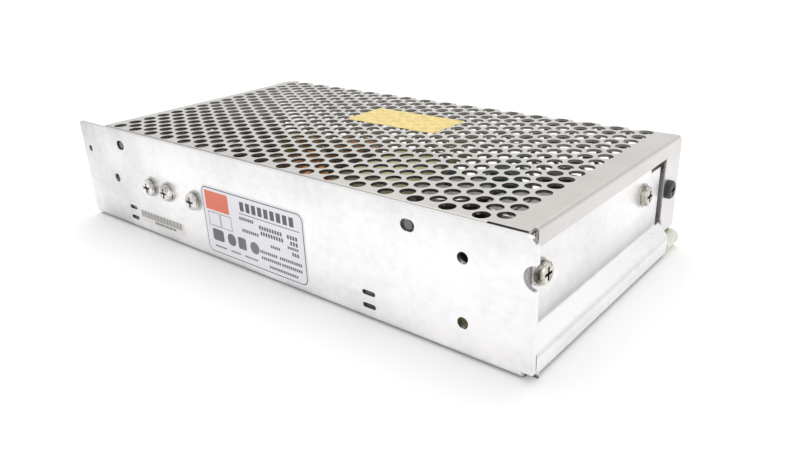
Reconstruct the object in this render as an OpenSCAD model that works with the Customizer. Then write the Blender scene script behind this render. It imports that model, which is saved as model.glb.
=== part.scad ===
// Mesh case switching power supply.
// A folded aluminium chassis carries the board and its parts. A folded and
// perforated steel cover closes the top, the far side and the rim of the end.
// X runs along the case from the terminals to the closed end, Y from the
// plain side wall to the perforated one, and Z up from the mounting face.

/* [Case] */
// Length of the case
case_l = 199; // [195:1:230]
// Width of the case
case_w = 98; // [96:1:115]
// Height of the case
case_h = 38; // [37:1:46]

/* [Chassis sheet] */
// Thickness of the chassis sheet
chassis_t = 1.5; // [1.2:0.1:1.8]
// Inside radius of the chassis bends
chassis_bend = 0.8; // [0.5:0.1:1.2]
// Radius of the side wall's corner at the closed end
side_corner_r = 3; // [1:0.5:5]
// Height of the low lip along the far side
far_lip_h = 8; // [6:0.5:9]
// How far the upper end wall is set back from the end of the case
end_setback = 3.5; // [3:0.5:5]
// Height of the upright foot of the end wall
end_foot_h = 6.4; // [5.5:0.1:8]
// Slope of the end wall's step, from upright
end_step_a = 38; // [35:1:55]
// Distance from the side wall's outer face to the upper end wall
end_near_gap = 4.5; // [4.5:0.5:6]
// Width of the upper end wall
end_upper_w = 79; // [76:1:80]
// Width of the end wall's foot
end_foot_w = 85; // [83:1:87]
// Width of the cut in the upper end wall's far top corner
end_cut_w = 7.6; // [6:0.1:12]
// Depth of that cut under the top of the case
end_cut_drop = 7; // [6.5:0.5:9]
// Gap between the side wall and the end wall's foot
corner_seam = 0.4; // [0.2:0.1:0.8]
// Size of the relief notch where the two folds meet
corner_relief = 3; // [2.8:0.1:4]
// Height of the corner tab behind the cover's leg
tab_top_z = 28; // [26:1:31]

/* [Mesh cover] */
// Thickness of the cover sheet
cover_t = 0.8; // [0.6:0.1:1]
// Inside radius of the cover bends
cover_bend = 0.3; // [0.3:0.1:0.8]
// Gap between the cover and the chassis sheet
cover_gap = 0.1; // [0.05:0.05:0.25]
// Distance from the open end of the case to the cover
cover_start = 14; // [12:1:17]
// Radius of the cover's far corner at the open end
cover_corner_r = 6; // [3:1:7]
// Height of the flange inside the side wall
near_flange_h = 7.5; // [7.5:0.5:11]
// Distance from the cover's closed end to the near flange
near_flange_stop = 12; // [10:1:15]
// Height of the flange at the open end, at most
front_flange_h = 12; // [6:0.5:13]
// Distance from the far side to the flange at the open end
front_flange_stop = 11; // [9:0.5:14]
// Depth of the rim over the end wall
rim_h = 4.9; // [4:0.1:6]
// Distance from the side wall's outer face to the rim
rim_near_gap = 5.3; // [4:0.1:7]
// Width of the leg at the rim's far end
leg_w = 12.2; // [10:0.1:12.4]
// Height of the leg's foot over the mounting face
leg_foot_z = 7; // [6:0.5:8]
// Height of the far side's lower edge over the mounting face
flap_foot_z = 2; // [1:0.5:4]

/* [Mesh] */
// Diameter of the punched holes
hole_d = 4.6; // [3:0.1:4.8]
// Distance between two columns of holes
hole_pitch_x = 5; // [5:0.1:6]
// Distance between two holes of a column
hole_pitch_y = 6.15; // [6:0.05:7]
// Distance from the cover's open edge to the first column
mesh_edge_x = 7; // [6:0.5:9]
// Distance from the cover's closed end to the last column, at least
mesh_end_x = 9; // [7:0.5:12]
// Distance from the side wall's outer face to the first row, at least
mesh_edge_y = 5.1; // [5:0.1:7]
// Plain border along the far side's lower edge, at least
mesh_border = 2; // [2:0.5:6]

/* [Side wall] */
// Diameter of the tapped mounting holes
mount_hole_d = 3.3; // [2.5:0.1:4.2]
// Distance from the open end to the single mounting hole
mount_start_x = 21; // [20:0.5:25]
// Distance from the closed end to the pair of mounting holes
mount_end_x = 20; // [17:0.5:22]
// Distance between the two holes of the pair
mount_pair_gap = 18; // [16:0.5:20]
// Distance between the two rows of mounting holes in the floor
floor_mount_w = 60; // [50:1:70]
// Length of the openings that the cover's bosses snap into
snap_w = 4.6; // [4:0.1:6]
// Height of the openings that the cover's bosses snap into
snap_h = 3.4; // [3.2:0.1:4]
// Depth of the openings under the top of the case
snap_drop = 5.4; // [4.4:0.1:6]
// Diameter of the cover's bosses
boss_d = 2.6; // [2:0.1:2.8]
// Diameter of the pilot hole at the open end
pilot_d = 2.4; // [1.5:0.1:3.5]
// Length of the short slots
slot_l = 4.8; // [4:0.1:6]
// Height of the short slots
slot_h = 1.5; // [1:0.1:2]
// Distance between the two slots of a pair
slot_gap = 4.1; // [3.5:0.1:5]
// Radius of the access notch in the side wall's end
notch_r = 3.3; // [2:0.1:3.5]

/* [Screws] */
// Thread diameter of the case screws
screw_d = 3; // [2.5:0.1:3]
// Diameter of the screw heads
head_d = 6; // [5:0.1:6.4]
// Height of the screw heads
head_h = 1.7; // [1.5:0.1:2.2]
// Diameter of the washers
washer_d = 7.2; // [6.6:0.1:7.4]
// Thickness of the washers
washer_t = 0.5; // [0.3:0.1:0.6]
// Clearance of a screw in its hole, on the diameter
screw_clear = 0.4; // [0.3:0.1:0.8]
// Height of the side screws over the mounting face
side_screw_z = 19.9; // [19.5:0.1:22]
// Height of the end screws over the mounting face
end_screw_z = 25.7; // [24:0.1:28]
// Height of the leg's screw over the mounting face
leg_screw_z = 22.2; // [18:0.1:23]

/* [Board] */
// Height of the board's underside over the mounting face
board_z = 4.7; // [4.3:0.1:5.2]
// Thickness of the board
board_t = 1.6; // [1:0.1:1.8]
// Gap around the board
board_gap = 1.5; // [1:0.1:2]
// Thickness of the insulation sheet under the board
sheet_t = 0.4; // [0.2:0.1:0.8]
// Diameter of the board's standoffs
standoff_d = 5.5; // [5:0.1:6.5]

/* [Terminals] */
// Number of terminals
terminals = 7; // [5:1:7]
// Distance between two terminals
terminal_pitch = 9.5; // [8.5:0.1:9.5]
// Thickness of the barriers between the terminals
barrier_t = 1.3; // [1:0.1:1.6]
// Depth of the terminal block
block_depth = 15; // [14:0.5:16]
// Height of the terminal bays' floor over the board
bay_floor_h = 8; // [7:0.5:9]
// Height of the barriers over the board
barrier_h = 18; // [17:0.5:20]
// Diameter of the terminal screws' heads
terminal_head_d = 6.4; // [5.5:0.1:6.5]

/* [Trimmer] */
// Width of the voltage trimmer
trimmer_w = 8; // [7:0.5:9]
// Diameter of the trimmer's turning screw
rotor_d = 5; // [4:0.1:5.5]
// Clearance of the turning screw in its bore, on the radius
rotor_clear = 0.05; // [0.03:0.01:0.1]

/* [Parts on the board] */
// Diameter of the two main capacitors
main_cap_d = 22; // [18:0.5:22]
// Height of the two main capacitors
main_cap_h = 27; // [20:0.5:28]
// Diameter of the output capacitors
out_cap_d = 12.5; // [10:0.5:13]
// Height of the output capacitors
out_cap_h = 22; // [16:0.5:25]
// Width and depth of the transformer's core
core_w = 36; // [34:0.5:37]
// Height of the transformer's core
core_h = 12; // [10:0.5:14]
// Height of the transformer's winding
winding_h = 25; // [20:0.5:26]
// Outer diameter of the output inductor
toroid_d = 24; // [20:0.5:25]
// Width of the output inductor
toroid_w = 11; // [8:0.5:12]

/* [Hidden] */
$fn = 48;
// How far a cutter reaches past a face
over = 1;
// Clearance of parts that lie round each other on one body
slip = 0.1;

chassis_bend_out = chassis_bend + chassis_t;
cover_bend_out = cover_bend + cover_t;
floor_z = chassis_t;
board_top = board_z + board_t;

// Outer faces of the upper end wall and of the cover's rim over it
end_wall_x = case_l - end_setback;
rim_x = end_wall_x + cover_gap + cover_t;
rim_bend_x = rim_x - cover_bend_out;
// Outer faces of the near flange and of the chassis's far lip
near_flange_y = chassis_t + cover_gap;
far_lip_y = case_w - cover_t - cover_gap;
near_bend_y = near_flange_y + cover_bend_out;
far_bend_y = case_w - cover_bend_out;
top_bend_z = case_h - cover_bend_out;
near_flange_end = rim_x - near_flange_stop;
// Flange at the open end, which stays clear of the terminal block
front_bend_x = cover_start + cover_bend_out;
front_y = case_w - front_flange_stop;
front_foot_z = max(case_h - front_flange_h, board_top + barrier_h + 1.5);
front_relief = 0.6;
end_wall_top = top_bend_z;
leg_y = case_w - leg_w;
end_upper_y = end_near_gap + end_upper_w;
end_foot_y = chassis_t + corner_seam + end_foot_w;
// Near edge of what stands beside the foot, and clear of it
beside_foot_y = end_foot_y + 0.2;
tab_foot_z = leg_foot_z + 3.5;
far_ear_x = end_wall_x - 22;

snap_z = case_h - snap_drop;
snap_xs = [27.4, rim_x - 34.3];
slot_xs = [28.7, rim_x - 49];
slot_low_z = 4.6;
pilot_x = 4.7;
pilot_z = case_h - 10;
notch_z = end_screw_z + 2.3;
mid_z = case_h / 2;
mount_end = case_l - mount_end_x;
side_screw_xs = [44, 54.5, 69.8];
end_screw_ys = [end_near_gap + 3.9, end_upper_y - 13.1];
leg_screw_y = beside_foot_y + 2.1;

// ---- Frames and shared shapes ----

// Puts children given from the case's low near corner into the part's frame
module in_case() {
    translate([-case_l / 2, -case_w / 2, 0]) children();
}

// Stands a section drawn in Y and Z along X
module along_x(x0, x1) {
    translate([x0, 0, 0]) rotate([90, 0, 90]) linear_extrude(x1 - x0) children();
}

// Stands a section drawn in X and Z along Y
module along_y(y0, y1) {
    translate([0, y1, 0]) rotate([90, 0, 0]) linear_extrude(y1 - y0) children();
}

// Box between two corners
module block(low, high) {
    translate(low) cube(high - low);
}

// Turns children that stand on Z so that they point along -Y or +X
module towards_near() { rotate([90, 0, 0]) children(); }
module towards_end() { rotate([0, 90, 0]) children(); }

// Part of a bend: a ring sector between two angles
module bend_sector(r, t, a0, a1) {
    reach = 2 * (r + t);
    mid = (a0 + a1) / 2;
    intersection() {
        difference() {
            circle(r + t);
            circle(r);
        }
        polygon([[0, 0], reach * [cos(a0), sin(a0)],
                 1.5 * reach * [cos(mid), sin(mid)], reach * [cos(a1), sin(a1)]]);
    }
}

// Section of a folded sheet. Each entry of strip is a straight run and the
// turn after it, and the sheet lies on the left of its line.
module folded(strip, t, r, i = 0) {
    run = strip[i][0];
    turn = strip[i][1];
    side = turn < 0 ? -r : t + r;
    square([run, t]);
    if (turn != 0) {
        translate([run, side])
            if (turn > 0) bend_sector(r, t, -90, turn - 90);
            else bend_sector(r, t, 90 + turn, 90);
        translate([run, side]) rotate(turn) translate([0, -side])
            folded(strip, t, r, i + 1);
    }
}

// Rectangle with one rounded corner, its low and high corners given
module rounded_corner(corner, dir, r) {
    translate(corner - r * dir) difference() {
        translate([min(0, dir.x * r), min(0, dir.y * r)]) square(r);
        circle(r);
    }
}

// Slot with round ends, centred, along X
module slot(l, h) {
    square([l - h, h], center = true);
    for (side = [-1, 1]) translate([side * (l - h) / 2, 0]) circle(d = h);
}

// Cross recess of a screw head, cut down from the head's top
module cross_recess(d, top) {
    depth = 0.55 * head_h;
    for (turn = [0, 90]) rotate(turn)
        translate([-0.3 * d, -0.07 * d, top - depth]) cube([0.6 * d, 0.14 * d, depth + over]);
}

// Pan head screw. Its head stands on the plane z = 0 and its shank hangs down.
module pan_screw(d, h_d, h_h, l) {
    crown = 0.45 * h_h;
    difference() {
        union() {
            rotate_extrude() {
                square([h_d / 2, h_h - crown]);
                square([h_d / 2 - crown, h_h]);
                translate([h_d / 2 - crown, h_h - crown]) intersection() {
                    circle(crown);
                    square(crown);
                }
            }
            translate([0, 0, -l]) cylinder(d = d, h = l + h_h / 4);
        }
        cross_recess(h_d, h_h);
    }
}

// Flat washer on the plane z = 0
module washer(d, bore, t) {
    difference() {
        cylinder(d = d, h = t);
        translate([0, 0, -over]) cylinder(d = bore, h = t + 2 * over);
    }
}

// ---- Chassis ----

// Run of the slope between the two bends of the end wall's step
step_run = (end_setback - (chassis_bend_out + chassis_bend) * (1 - cos(end_step_a))) / sin(end_step_a);
step_rise = (chassis_bend_out + chassis_bend) * sin(end_step_a) + step_run * cos(end_step_a);
end_foot_run = end_foot_h - chassis_bend_out;
end_bend_x = case_l - chassis_bend_out;
end_floor_x = end_wall_x - 20;

// Section of the end wall, in X and Z, from the floor up
module end_section(upper) {
    translate([end_floor_x, 0]) folded(
        [[end_bend_x - end_floor_x, 90],
         [end_foot_run, end_step_a],
         [step_run, upper ? -end_step_a : 0],
         [end_wall_top - end_foot_h - step_rise, 0]], chassis_t, chassis_bend);
}

// Openings of the side wall, in X and Z
module side_openings() {
    translate([mount_start_x, mid_z]) circle(d = mount_hole_d);
    for (side = [-1, 1]) translate([mount_end, mid_z + side * mount_pair_gap / 2])
        circle(d = mount_hole_d);
    for (x = side_screw_xs) translate([x, side_screw_z]) circle(d = screw_d + screw_clear);
    for (x = snap_xs) translate([x, snap_z]) slot(snap_w, snap_h);
    for (x = slot_xs, row = [0, 1]) translate([x, slot_low_z + row * slot_gap]) slot(slot_l, slot_h);
    translate([pilot_x, pilot_z]) circle(d = pilot_d);
    translate([case_l, notch_z]) circle(notch_r);
    rounded_corner([case_l, case_h], [1, 1], side_corner_r);
}

// Mounting holes of the floor, in X and Y
floor_mount_xs = [mount_start_x, mount_end];
module floor_mounts() {
    for (x = floor_mount_xs, side = [-1, 1])
        translate([x, case_w / 2 + side * floor_mount_w / 2]) circle(d = mount_hole_d);
}

module chassis() {
    far_corner_x = end_wall_x - chassis_bend_out;
    color([0.86, 0.87, 0.88]) in_case() difference() {
        union() {
            // Side wall with its fold
            along_x(0, case_l) translate([0, case_h]) rotate(-90)
                folded([[case_h - chassis_bend_out, 90], [over, 0]], chassis_t, chassis_bend);
            // Floor
            block([0, chassis_bend_out, 0], [end_bend_x, end_foot_y, chassis_t]);
            block([0, chassis_bend_out, 0], [far_corner_x, far_lip_y - chassis_bend_out, chassis_t]);
            // Far lip, which rises to an ear at the closed end
            along_x(0, far_corner_x) translate([far_lip_y - chassis_bend_out - over, 0])
                folded([[over, 90], [far_lip_h - chassis_bend_out, 0]], chassis_t, chassis_bend);
            block([far_ear_x, far_lip_y - chassis_t, far_lip_h - over],
                  [far_corner_x, far_lip_y, tab_top_z]);
            // Tab folded from the ear behind the cover's leg
            translate([far_corner_x - over, far_lip_y, tab_foot_z]) mirror([0, 1, 0])
                linear_extrude(tab_top_z - tab_foot_z)
                folded([[over, 90], [far_lip_y - beside_foot_y - chassis_bend_out, 0]],
                       chassis_t, chassis_bend);
            // End wall, its foot wider than the rest
            along_y(end_near_gap, end_upper_y) end_section(true);
            along_y(chassis_t + corner_seam, end_foot_y) end_section(false);
        }
        translate([0, chassis_t + over, 0]) towards_near()
            linear_extrude(chassis_t + 2 * over) side_openings();
        translate([0, 0, -over]) linear_extrude(chassis_t + 2 * over) floor_mounts();
        // Relief where the folds of the side wall and the end wall meet
        block([case_l - corner_relief, -over, -over],
              [case_l + over, corner_relief, chassis_bend_out]);
        // Cut in the upper end wall's far top corner, below the rim
        block([end_wall_x - chassis_t - over, end_upper_y - end_cut_w, case_h - end_cut_drop],
              [end_wall_x + over, end_upper_y + over, case_h]);
        for (y = end_screw_ys) translate([end_wall_x - chassis_t - over, y, end_screw_z])
            towards_end() cylinder(d = screw_d + screw_clear, h = chassis_t + 2 * over);
        translate([end_wall_x - chassis_t - over, leg_screw_y, leg_screw_z])
            towards_end() cylinder(d = screw_d + slip, h = chassis_t + 2 * over);
    }
}

// ---- Mesh cover ----

mesh_x0 = cover_start + mesh_edge_x;
mesh_cols = floor((rim_x - mesh_end_x - mesh_x0) / hole_pitch_x) + 1;
// Lengths of sheet, measured from the side wall's outer face over the far bend
bend_len = (cover_bend + cover_t / 2) * PI / 2;
flap_start = far_bend_y + bend_len;
sheet_len = flap_start + top_bend_z - flap_foot_z;
mesh_reach = hole_d / 2;
mesh_y0 = max(mesh_edge_y, near_bend_y + mesh_reach);
mesh_rows = floor((sheet_len - mesh_y0) / hole_pitch_y);
// Place of a hole along the sheet, where every other column is half a pitch on
function mesh_s(i, j) = mesh_y0 + (j + (i % 2) / 2) * hole_pitch_y;
function mesh_x(i) = mesh_x0 + i * hole_pitch_x;

// Holes of the top, in X and Y
module top_holes() {
    for (i = [0:mesh_cols - 1], j = [0:mesh_rows])
        if (mesh_s(i, j) < far_bend_y + mesh_reach)
            translate([mesh_x(i), mesh_s(i, j)]) circle(mesh_reach, $fn = 24);
}

// Holes of the far side, in X and Z
module flap_holes() {
    for (i = [0:mesh_cols - 1], j = [0:mesh_rows])
        if (mesh_s(i, j) > flap_start - mesh_reach
            && mesh_s(i, j) < sheet_len - mesh_border - mesh_reach)
            translate([mesh_x(i), top_bend_z - mesh_s(i, j) + flap_start])
                circle(mesh_reach, $fn = 24);
}

// Holes that cross the far bend
module bend_holes() {
    for (i = [0:mesh_cols - 1], j = [0:mesh_rows])
        if (abs(mesh_s(i, j) - (far_bend_y + flap_start) / 2) < mesh_reach)
            translate([mesh_x(i), mesh_s(i, j), top_bend_z - over])
                cylinder(r = mesh_reach, h = cover_bend_out + 2 * over, $fn = 24);
}

module mesh_cover() {
    bend_x0 = cover_start + cover_corner_r;
    color([0.79, 0.78, 0.75]) in_case() {
        // Top sheet
        translate([0, 0, case_h - cover_t]) linear_extrude(cover_t) difference() {
            union() {
                translate([front_bend_x, near_bend_y])
                    square([rim_bend_x - front_bend_x, far_bend_y - near_bend_y]);
                translate([cover_start, front_y + front_relief])
                    square([cover_bend_out, far_bend_y - front_y - front_relief]);
                translate([cover_start, far_bend_y]) square([cover_corner_r, cover_bend_out]);
            }
            rounded_corner([cover_start, case_w], [-1, 1], cover_corner_r);
            top_holes();
        }
        // Far bend
        difference() {
            along_x(bend_x0, rim_bend_x) translate([far_bend_y, top_bend_z])
                bend_sector(cover_bend, cover_t, 0, 90);
            bend_holes();
        }
        // Far side
        along_y(case_w - cover_t, case_w) difference() {
            translate([bend_x0, flap_foot_z])
                square([rim_x - cover_t - cover_gap - bend_x0, top_bend_z - flap_foot_z]);
            flap_holes();
        }
        // Flange at the open end
        along_y(near_bend_y, front_y) translate([front_bend_x, top_bend_z])
            bend_sector(cover_bend, cover_t, 90, 180);
        block([cover_start, near_bend_y, front_foot_z],
              [cover_start + cover_t, front_y, top_bend_z]);
        // Near flange with its two bosses
        along_x(front_bend_x, near_flange_end) translate([near_bend_y, top_bend_z])
            bend_sector(cover_bend, cover_t, 90, 180);
        block([front_bend_x, near_flange_y, case_h - near_flange_h],
              [near_flange_end, near_flange_y + cover_t, top_bend_z]);
        for (x = snap_xs) translate([x, near_flange_y + cover_t / 2, snap_z]) towards_near()
            cylinder(d = boss_d, h = cover_t / 2 + cover_gap + 0.7 * chassis_t);
        // Rim over the end wall, and its leg
        along_y(rim_near_gap, far_bend_y) translate([rim_bend_x, top_bend_z])
            bend_sector(cover_bend, cover_t, 0, 90);
        difference() {
            union() {
                block([rim_x - cover_t, rim_near_gap, case_h - rim_h],
                      [rim_x, case_w, top_bend_z]);
                // The leg passes over the end wall's step, then reaches down beside its foot
                block([rim_x - cover_t, leg_y, end_foot_h + step_rise + 0.5],
                      [rim_x, case_w, top_bend_z]);
                block([rim_x - cover_t, max(leg_y, beside_foot_y), leg_foot_z],
                      [rim_x, case_w, top_bend_z]);
            }
            translate([rim_x - cover_t - over, leg_screw_y, leg_screw_z]) towards_end()
                cylinder(d = screw_d + screw_clear, h = cover_t + 2 * over);
        }
    }
}

// ---- Screws, washers and nuts ----

tab_t = 1.3;
pad_t = 0.3;
nut_h = 2.4;
nut_w = 5.5;
// Faces that the nuts lie on, inside the side wall and inside the end wall
side_tab_y = chassis_t + pad_t + tab_t;
end_tab_x = end_wall_x - chassis_t - pad_t - tab_t;
case_screw_l = washer_t + chassis_t + pad_t + tab_t + nut_h + 1;

module leg_screw() {
    color([0.09, 0.09, 0.1]) in_case()
        translate([rim_x, leg_screw_y, leg_screw_z]) towards_end()
            pan_screw(screw_d, head_d, head_h + 0.2, 6);
}

module end_screws() {
    color([0.72, 0.71, 0.67]) in_case() for (y = end_screw_ys)
        translate([end_wall_x + washer_t, y, end_screw_z]) towards_end()
            pan_screw(screw_d, head_d, head_h, case_screw_l);
}

module end_washers() {
    color([0.66, 0.66, 0.64]) in_case() for (y = end_screw_ys)
        translate([end_wall_x, y, end_screw_z]) towards_end()
            washer(washer_d, screw_d + screw_clear, washer_t);
}

module side_screws() {
    color([0.74, 0.73, 0.68]) in_case() for (x = side_screw_xs)
        translate([x, -washer_t, side_screw_z]) towards_near()
            pan_screw(screw_d, head_d, head_h, case_screw_l);
}

module side_washers() {
    color([0.68, 0.68, 0.65]) in_case() for (x = side_screw_xs)
        translate([x, 0, side_screw_z]) towards_near()
            washer(washer_d, screw_d + screw_clear, washer_t);
}

module screw_nuts() {
    color([0.66, 0.66, 0.64]) in_case() {
        for (x = side_screw_xs) translate([x, side_tab_y + nut_h, side_screw_z]) towards_near() nut();
        for (y = end_screw_ys) translate([end_tab_x - nut_h, y, end_screw_z]) towards_end() nut();
    }
}

module nut() {
    difference() {
        cylinder(d = nut_w / cos(30), h = nut_h, $fn = 6);
        translate([0, 0, -over]) cylinder(d = screw_d + slip, h = nut_h + 2 * over);
    }
}

// ---- Board and what carries it ----

board_x0 = board_gap;
board_x1 = end_wall_x - chassis_t - board_gap;
board_y0 = chassis_t + board_gap;
board_y1 = far_lip_y - chassis_t - board_gap;
standoff_in = 5;
board_mid = (board_x0 + board_x1) / 2;
standoff_at = [for (x = [board_x0 + 19, board_mid, board_x1 - 12],
                    y = [board_y0 + standoff_in, board_y1 - standoff_in]) [x, y]];
board_screw_head_h = 1.8;

module insulation_sheet() {
    edge = 2;
    color([0.86, 0.85, 0.78]) in_case() difference() {
        block([board_x0 + edge, board_y0 + edge, floor_z],
              [board_x1 - edge, board_y1 - edge, floor_z + sheet_t]);
        for (p = standoff_at) translate([p.x, p.y, floor_z - over])
            cylinder(d = standoff_d + 4 * slip, h = sheet_t + 2 * over);
    }
}

module circuit_board() {
    color([0.35, 0.42, 0.2]) in_case() difference() {
        block([board_x0, board_y0, board_z], [board_x1, board_y1, board_top]);
        for (p = standoff_at) translate([p.x, p.y, board_z - over])
            cylinder(d = screw_d + screw_clear, h = board_t + 2 * over);
    }
}

module standoffs() {
    color([0.7, 0.7, 0.7]) in_case() for (p = standoff_at)
        translate([p.x, p.y, floor_z]) washer(standoff_d, screw_d + slip, board_z - floor_z);
}

module board_screws() {
    color([0.72, 0.71, 0.67]) in_case() for (p = standoff_at)
        translate([p.x, p.y, board_top])
            pan_screw(screw_d, head_d - 0.5, board_screw_head_h, board_t + board_z - floor_z - 0.5);
}

// ---- Terminal block ----

block_x0 = board_x0 + 0.5;
block_x1 = block_x0 + block_depth;
block_l = terminals * terminal_pitch + barrier_t;
block_y0 = board_y1 - 5.5 - block_l;
bay_z = board_top + bay_floor_h;
bay_w = terminal_pitch - barrier_t;
block_back_t = 2;
plate_t = 0.8;
bay_x = block_x0 + (block_depth - block_back_t) / 2;
terminal_screw_d = 3.5;
terminal_head_h = 2.4;
function bay_y(i) = block_y0 + barrier_t + bay_w / 2 + i * terminal_pitch;

module terminal_block() {
    color([0.1, 0.1, 0.11]) in_case() difference() {
        union() {
            block([block_x0, block_y0, board_top], [block_x1, block_y0 + block_l, bay_z]);
            block([block_x1 - block_back_t, block_y0, board_top],
                  [block_x1, block_y0 + block_l, board_top + barrier_h]);
            for (i = [0:terminals])
                block([block_x0, block_y0 + i * terminal_pitch, board_top],
                      [block_x1, block_y0 + i * terminal_pitch + barrier_t, board_top + barrier_h]);
        }
        for (i = [0:terminals - 1]) translate([bay_x, bay_y(i), bay_z - 5.5])
            cylinder(d = terminal_screw_d + slip, h = 5.5 + over);
    }
}

module terminal_plates() {
    color([0.75, 0.73, 0.66]) in_case() for (i = [0:terminals - 1])
        translate([bay_x, bay_y(i), bay_z]) difference() {
            translate([-5, -bay_w / 2 + slip, 0]) cube([10, bay_w - 2 * slip, plate_t]);
            translate([0, 0, -over]) cylinder(d = terminal_screw_d + slip, h = plate_t + 2 * over);
        }
}

module terminal_clamps() {
    color([0.7, 0.7, 0.68]) in_case() for (i = [0:terminals - 1])
        translate([bay_x, bay_y(i), bay_z + plate_t]) difference() {
            translate([-3.6, -3.6, 0]) cube([7.2, 7.2, plate_t]);
            translate([0, 0, -over]) cylinder(d = terminal_screw_d + slip, h = plate_t + 2 * over);
        }
}

module terminal_screws() {
    color([0.74, 0.73, 0.68]) in_case() for (i = [0:terminals - 1])
        translate([bay_x, bay_y(i), bay_z + 2 * plate_t])
            pan_screw(terminal_screw_d, terminal_head_d, terminal_head_h, 2 * plate_t + 5);
}

// ---- Voltage trimmer and lamp ----

trimmer_x0 = board_x0 + 1;
trimmer_h = 9;
trimmer_y = block_y0 - 2 - trimmer_w / 2;
trimmer_z = board_top + trimmer_h - trimmer_w / 2;
rotor_depth = 3;
rotor_out = 0.6;
lamp_y = trimmer_y - trimmer_w / 2 - 2 - 2;
lamp_z = trimmer_z;
lamp_w = 4.4;

module trimmer_body() {
    color([0.16, 0.3, 0.6]) in_case() difference() {
        block([trimmer_x0, trimmer_y - trimmer_w / 2, board_top],
              [trimmer_x0 + 6, trimmer_y + trimmer_w / 2, board_top + trimmer_h]);
        translate([trimmer_x0 - over, trimmer_y, trimmer_z]) towards_end()
            cylinder(r = rotor_d / 2 + rotor_clear, h = rotor_depth + slip + over);
    }
}

module trimmer_rotor() {
    blade_w = 0.9;
    color([0.92, 0.92, 0.9]) in_case()
        translate([trimmer_x0 - rotor_out, trimmer_y, trimmer_z]) towards_end() difference() {
            cylinder(d = rotor_d, h = rotor_depth + rotor_out);
            for (turn = [0, 90]) rotate(turn)
                translate([-0.38 * rotor_d, -blade_w / 2, -over]) cube([0.76 * rotor_d, blade_w, over + 1.2]);
        }
}

module led_holder() {
    color([0.12, 0.12, 0.12]) in_case()
        block([trimmer_x0 + 2, lamp_y - lamp_w / 2, board_top],
              [trimmer_x0 + 6, lamp_y + lamp_w / 2, lamp_z + lamp_w / 2]);
}

module led() {
    lamp_r = 1.5;
    color([0.25, 0.75, 0.35]) in_case()
        translate([trimmer_x0 + 2, lamp_y, lamp_z]) rotate([0, -90, 0]) {
            cylinder(r = lamp_r + 0.4, h = 0.9);
            cylinder(r = lamp_r, h = 2.6);
            translate([0, 0, 2.6]) intersection() {
                sphere(lamp_r);
                cylinder(r = 2 * lamp_r, h = 2 * lamp_r);
            }
        }
}

// ---- Power transistors on the walls ----

package_w = 10.2;
package_t = 4.5;
tab_over = 2.8;
body_under = 3.4;
package_under = 12.7;
lead_w = 0.9;
lead_t = 0.5;
lead_pitch = 2.54;

// One package with its back on the plane y = 0 and its hole at the origin.
// lead_l is the distance from the body down to the board.
module package(lead_l) {
    translate([0, tab_t, 0]) towards_near() linear_extrude(tab_t) difference() {
        translate([-package_w / 2, -package_under]) square([package_w, package_under + tab_over]);
        circle(d = 3.6);
    }
    block([-package_w / 2, 0.5 * tab_t, -package_under], [package_w / 2, package_t, -body_under]);
    for (i = [-1:1])
        block([i * lead_pitch - lead_w / 2, 2.4, -package_under - lead_l],
              [i * lead_pitch + lead_w / 2, 2.4 + lead_t, -package_under + over]);
}

module side_transistors() {
    color([0.13, 0.13, 0.14]) in_case() for (x = side_screw_xs)
        translate([x, chassis_t + pad_t, side_screw_z])
            package(side_screw_z - package_under - board_top);
}

module end_transistors() {
    color([0.13, 0.13, 0.14]) in_case() for (y = end_screw_ys)
        translate([end_wall_x - chassis_t - pad_t, y, end_screw_z]) rotate(90)
            package(end_screw_z - package_under - board_top);
}

module pad() {
    difference() {
        block([-package_w / 2, 0, -package_under], [package_w / 2, pad_t, tab_over]);
        translate([0, pad_t + over, 0]) towards_near()
            cylinder(d = screw_d + screw_clear, h = pad_t + 2 * over);
    }
}

module insulator_pads() {
    color([0.55, 0.6, 0.62]) in_case() {
        for (x = side_screw_xs) translate([x, chassis_t, side_screw_z]) pad();
        for (y = end_screw_ys) translate([end_wall_x - chassis_t, y, end_screw_z]) rotate(90) pad();
    }
}

// ---- Transformer ----

trafo_x = 124;
trafo_y = board_y0 + 16 + core_w / 2;
core_z = board_top + 1 + winding_h / 2;
core_leg = 5;
centre_leg = 10;
yoke = 5;
window_w = (core_w - 2 * core_leg - centre_leg) / 2;

module transformer_core() {
    color([0.2, 0.19, 0.19]) in_case() translate([trafo_x, trafo_y, core_z - core_h / 2])
        linear_extrude(core_h) difference() {
            square(core_w, center = true);
            for (side = [-1, 1]) translate([side * (centre_leg + window_w) / 2, 0])
                square([window_w, core_w - 2 * yoke], center = true);
        }
}

module transformer_winding() {
    wind_w = centre_leg + 2 * window_w - 4 * slip;
    wind_l = core_w - 2 * yoke - 4 * slip;
    corner = 5;
    color([0.9, 0.82, 0.42]) in_case() translate([trafo_x, trafo_y, core_z])
        along_y(-wind_l / 2, wind_l / 2) difference() {
            union() {
                square([wind_w - 2 * corner, winding_h], center = true);
                square([wind_w, winding_h - 2 * corner], center = true);
                for (x = [-1, 1], z = [-1, 1])
                    translate([x * (wind_w / 2 - corner), z * (winding_h / 2 - corner)]) circle(corner);
            }
            square([centre_leg + 2 * slip, core_h + 2 * slip], center = true);
        }
}

module transformer_pin_blocks() {
    color([0.12, 0.12, 0.12]) in_case() for (side = [-1, 1])
        block([trafo_x - core_w / 2 + 2, trafo_y + side * (core_w - yoke) / 2 - yoke / 2, board_top],
              [trafo_x + core_w / 2 - 2, trafo_y + side * (core_w - yoke) / 2 + yoke / 2,
               core_z - core_h / 2]);
}

// ---- Output inductor, a wound ring standing on its cradle ----

toroid_x = trafo_x - core_w / 2 - 1 - toroid_d / 2;
toroid_y = trafo_y - 11;
toroid_z = board_top + 1.2 + toroid_d / 2;
wire_t = 1.6;
cradle_w = 14;

toroid_bore_r = toroid_d / 2 - 5.2;

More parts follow.
